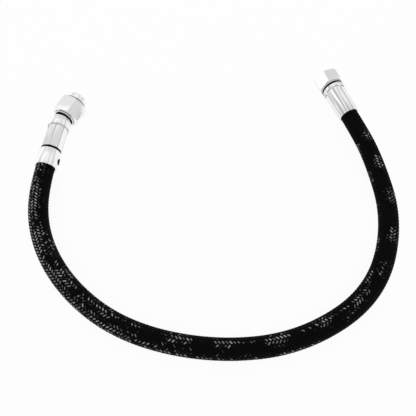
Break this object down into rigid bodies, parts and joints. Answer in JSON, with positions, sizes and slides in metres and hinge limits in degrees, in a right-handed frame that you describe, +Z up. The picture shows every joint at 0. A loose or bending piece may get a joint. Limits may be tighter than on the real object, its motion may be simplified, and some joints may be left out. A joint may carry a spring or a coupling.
{
  "type": "flexible hose",
  "caption": "Flexible textile-braided rubber pressure hose lying in a U, with a crimped ball-swivel female end and a crimped hexagonal union-nut end.",
  "frame": {"origin": "centre of the bounding box, on the surface that the hose lies on", "axes": "+X along the U's width, from the swivel end to the union nut end; +Y the way the U opens; +Z up"},
  "size_m": [0.2764, 0.2385, 0.02],
  "materials": {
    "textile_braid": "woven black textile braid with pale grey glints",
    "liner_rubber": "smooth black rubber",
    "chrome": "bright chrome plate",
    "turned_steel": "turned, zinc plated",
    "black_rubber": "matt black rubber",
    "black_plastic": "matt black moulded plastic"
  },
  "bodies": {
    "hose_assembly": {"hose_liner": "liner_rubber", "hose_braid": "textile_braid", "collar": "chrome", "hole_plug": "black_rubber", "collar_ring": "black_rubber", "swivel_ferrule": "chrome", "swivel_stem": "turned_steel", "ball_seal": "black_rubber", "ball_retainer": "black_plastic", "nut_ferrule": "chrome", "nut_stem": "turned_steel", "ferrule_ring": "black_rubber", "stem_seal": "black_rubber"},
    "tilting_ring": {"dust_ring": "black_rubber"},
    "swivel_end": {"ball_stud": "chrome", "swivel_nut": "chrome", "nose_ring": "black_rubber"},
    "union_end": {"union_nut": "chrome"}
  },
  "joints": [
    {"name": "swivel_tilt", "type": "hinge", "parent": "hose_assembly", "child": "tilting_ring", "pos_m": [-0.12621, 0.06316, 0.01], "axis": [0, 0, 1], "range_deg": [-1, 35]},
    {"name": "swivel_spin", "type": "hinge", "parent": "tilting_ring", "child": "swivel_end", "pos_m": [-0.12621, 0.06316, 0.01], "axis": [0.3747, 0.9272, 0], "continuous": true},
    {"name": "union_nut_spin", "type": "hinge", "parent": "hose_assembly", "child": "union_end", "pos_m": [0.10335, 0.11308, 0.0095], "axis": [-0.3021, 0.9533, 0], "continuous": true}
  ]
}
